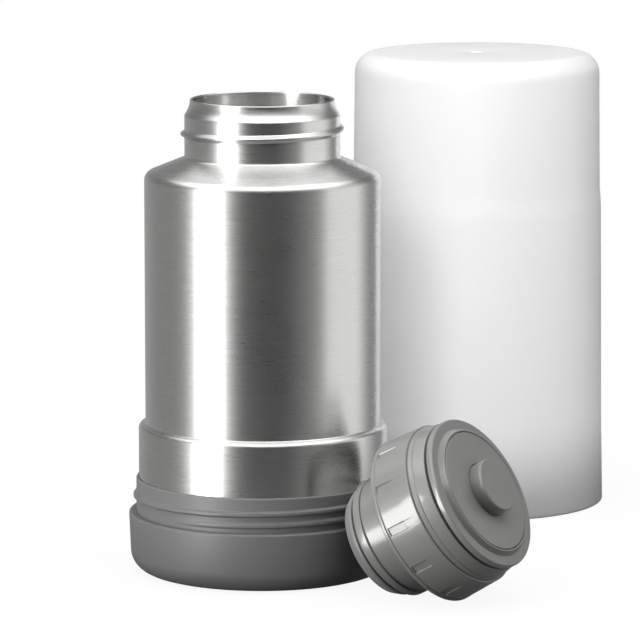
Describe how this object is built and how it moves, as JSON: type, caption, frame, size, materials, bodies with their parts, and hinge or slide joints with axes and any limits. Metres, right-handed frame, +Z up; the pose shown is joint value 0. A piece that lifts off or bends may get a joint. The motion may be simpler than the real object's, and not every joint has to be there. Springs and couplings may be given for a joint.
{
  "type": "baby bottle warmer",
  "caption": "Travel baby bottle warmer: insulated steel flask in a grey boot, push-button pouring stopper lying beside it, and a tall translucent cover that serves as the warming jug.",
  "frame": {"origin": "centre of the flask's foot, on the surface that everything stands on", "axes": "+Z up along the flask's axis, +X to the right and +Y away from the viewer as the set is laid out"},
  "size_m": [0.1994, 0.2981, 0.1942],
  "materials": {
    "brushed_steel_shell": "satin, brushed round the axis",
    "steel_inside": "electropolished",
    "seal_metal": "brazed",
    "getter_metal": "sintered, matt",
    "copper_foil": "bright foil",
    "grey_plastic": "glossy moulded",
    "collar_plastic": "glossy moulded",
    "boot_plastic": "fine matt",
    "white_foam": "closed-cell foam",
    "silicone": "matt silicone",
    "frosted_cover": "frosted translucent polypropylene",
    "spring_wire": "drawn wire"
  },
  "bodies": {
    "flask": {"outer_shell": "brushed_steel_shell", "inner_liner": "steel_inside", "base_disc": "steel_inside", "vacuum_seal": "seal_metal", "getter": "getter_metal", "heat_foil": "copper_foil", "thread_collar": "collar_plastic", "base_boot": "boot_plastic", "base_cushion": "white_foam"},
    "stopper": {"stopper_skirt": "grey_plastic", "stopper_cap": "grey_plastic", "face_plate": "grey_plastic", "plug_body": "grey_plastic", "insulation_core": "white_foam", "plug_gasket": "silicone", "neck_gasket": "silicone", "button_spring": "spring_wire"},
    "button": {"push_button": "grey_plastic", "valve_stem": "spring_wire", "valve_disc": "grey_plastic", "valve_seal": "silicone", "stem_clip": "spring_wire"},
    "cover": {"cover_shell": "frosted_cover"}
  },
  "joints": [
    {"name": "stopper_lift", "type": "slide", "parent": "flask", "child": "stopper", "axis": [0, 0, 1], "range_m": [0, 0.2]},
    {"name": "button_press", "type": "slide", "parent": "stopper", "child": "button", "axis": [-0.7651, 0.4258, -0.4831], "range_m": [0, 0.0035], "stiffness_N_per_m": 500, "springref_m": -0.004, "deforming": ["button_spring"]},
    {"name": "cover_lift", "type": "slide", "parent": "flask", "child": "cover", "axis": [0, 0, 1], "range_m": [0, 0.25]}
  ]
}
